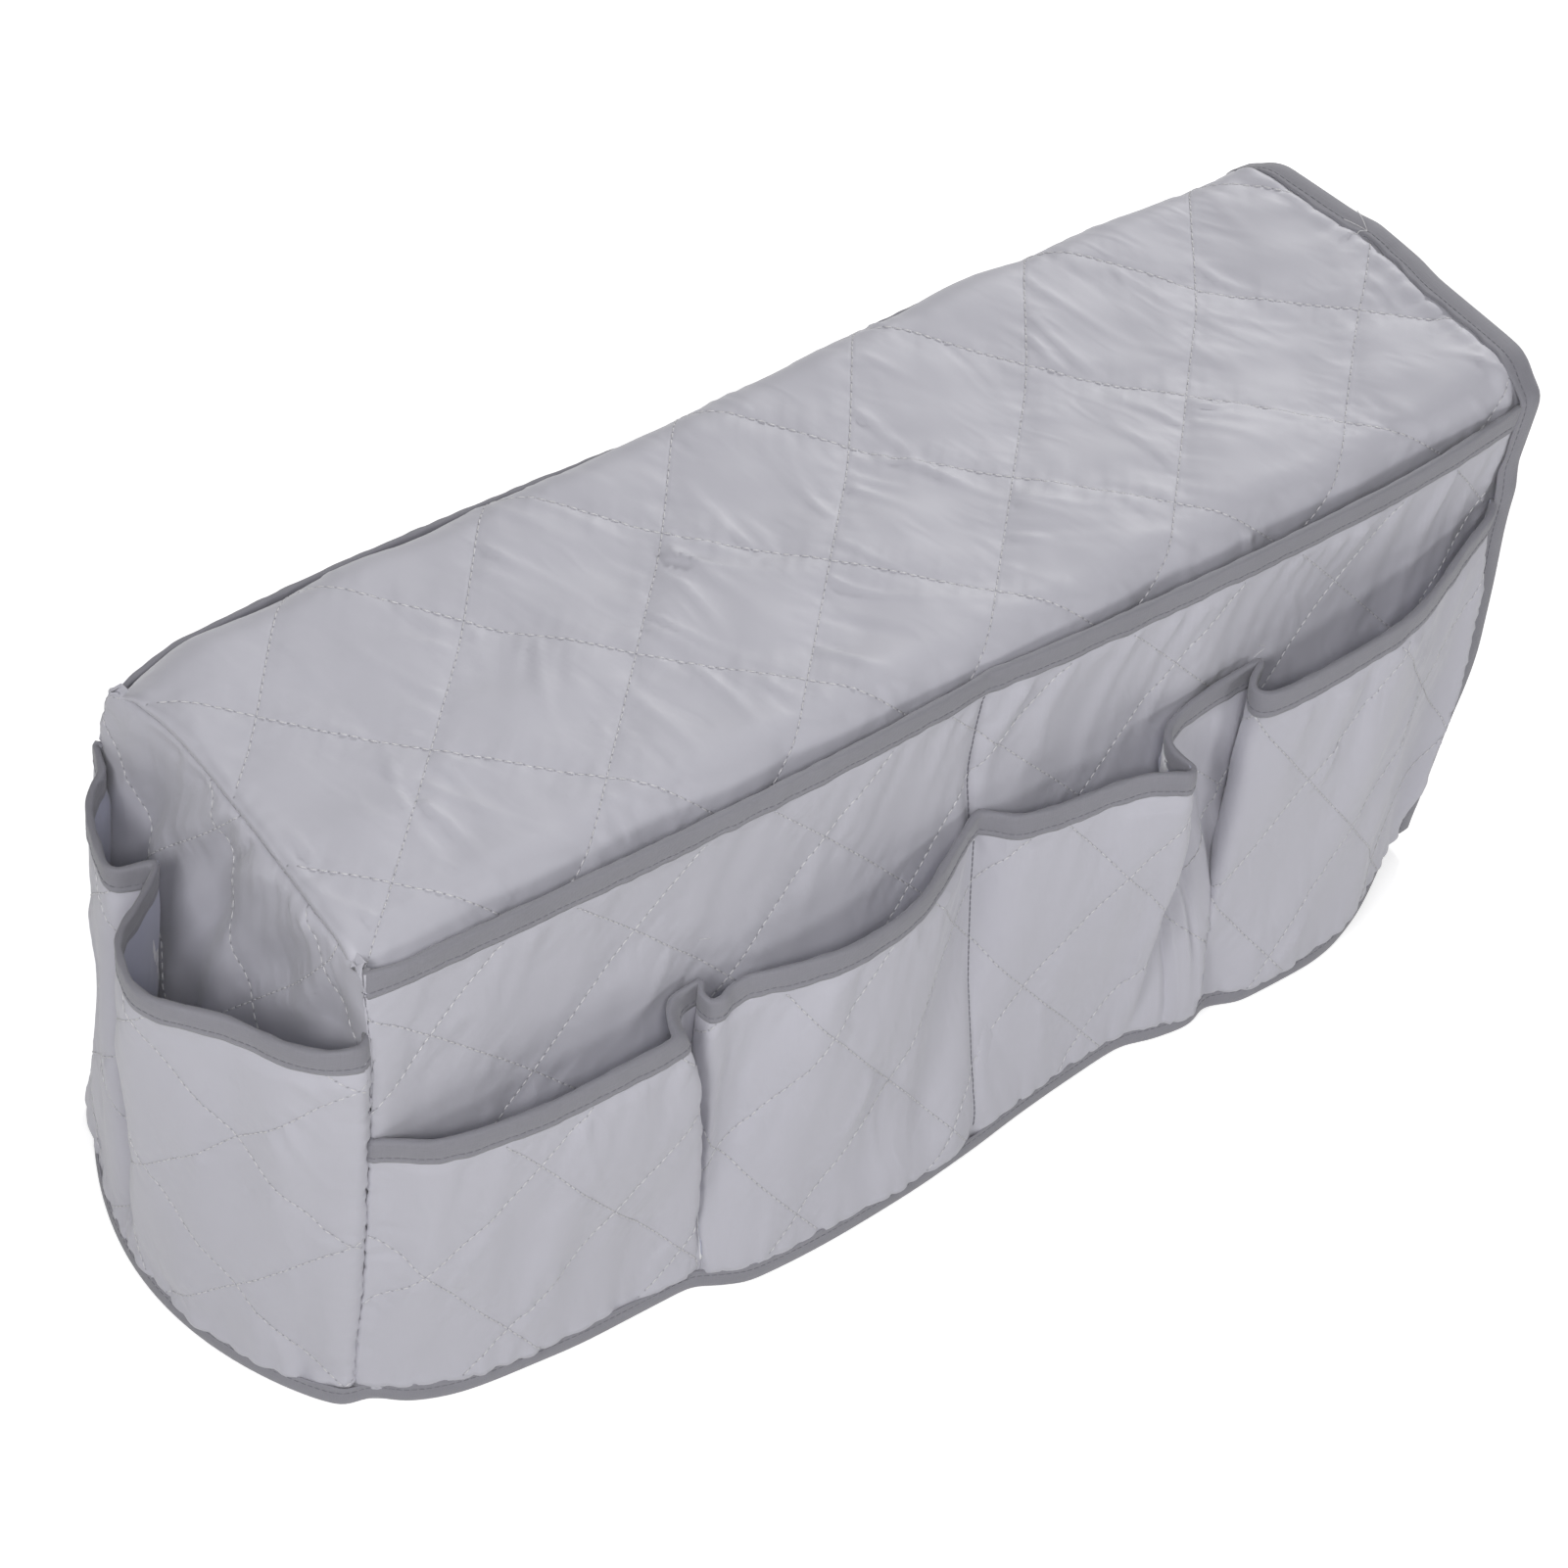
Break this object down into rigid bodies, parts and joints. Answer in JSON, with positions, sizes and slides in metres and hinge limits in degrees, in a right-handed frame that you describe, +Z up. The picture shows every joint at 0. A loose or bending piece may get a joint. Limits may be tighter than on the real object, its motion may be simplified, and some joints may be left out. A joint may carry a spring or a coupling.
{
  "type": "armrest cover with pockets",
  "caption": "Quilted slip-over armrest cover with rows of side pockets and an end pocket, bound edges, one closed end and one open end.",
  "frame": {"origin": "on the ground under the middle of the cover's outline as it stands open", "axes": "+X along the armrest from the closed end to the open end, +Z up, the long side seen in the picture faces -Y"},
  "size_m": [0.6588, 0.2822, 0.2668],
  "materials": {
    "face_cloth": "smooth quilted polyester with a soft satin sheen, pale grey",
    "wadding": "soft white polyester wadding",
    "lining_cloth": "thin plain lining, pale blue-grey",
    "binding_tape": "plain woven folded tape, mid grey"
  },
  "bodies": {
    "root": {"cover_face": "face_cloth", "cover_wadding": "wadding", "cover_lining": "lining_cloth", "end_panel_face": "face_cloth", "end_panel_wadding": "wadding", "end_panel_lining": "lining_cloth", "front_large_face": "face_cloth", "front_large_wadding": "wadding", "front_large_lining": "lining_cloth", "back_large_face": "face_cloth", "back_large_wadding": "wadding", "back_large_lining": "lining_cloth", "front_small_face": "face_cloth", "front_small_wadding": "wadding", "front_small_lining": "lining_cloth", "back_small_face": "face_cloth", "back_small_wadding": "wadding", "back_small_lining": "lining_cloth", "end_pocket_face": "face_cloth", "end_pocket_wadding": "wadding", "end_pocket_lining": "lining_cloth", "front_large_binding": "binding_tape", "back_large_binding": "binding_tape", "front_small_binding": "binding_tape", "back_small_binding": "binding_tape", "end_pocket_binding": "binding_tape", "open_end_binding": "binding_tape", "hem_binding": "binding_tape"}
  },
  "joints": []
}
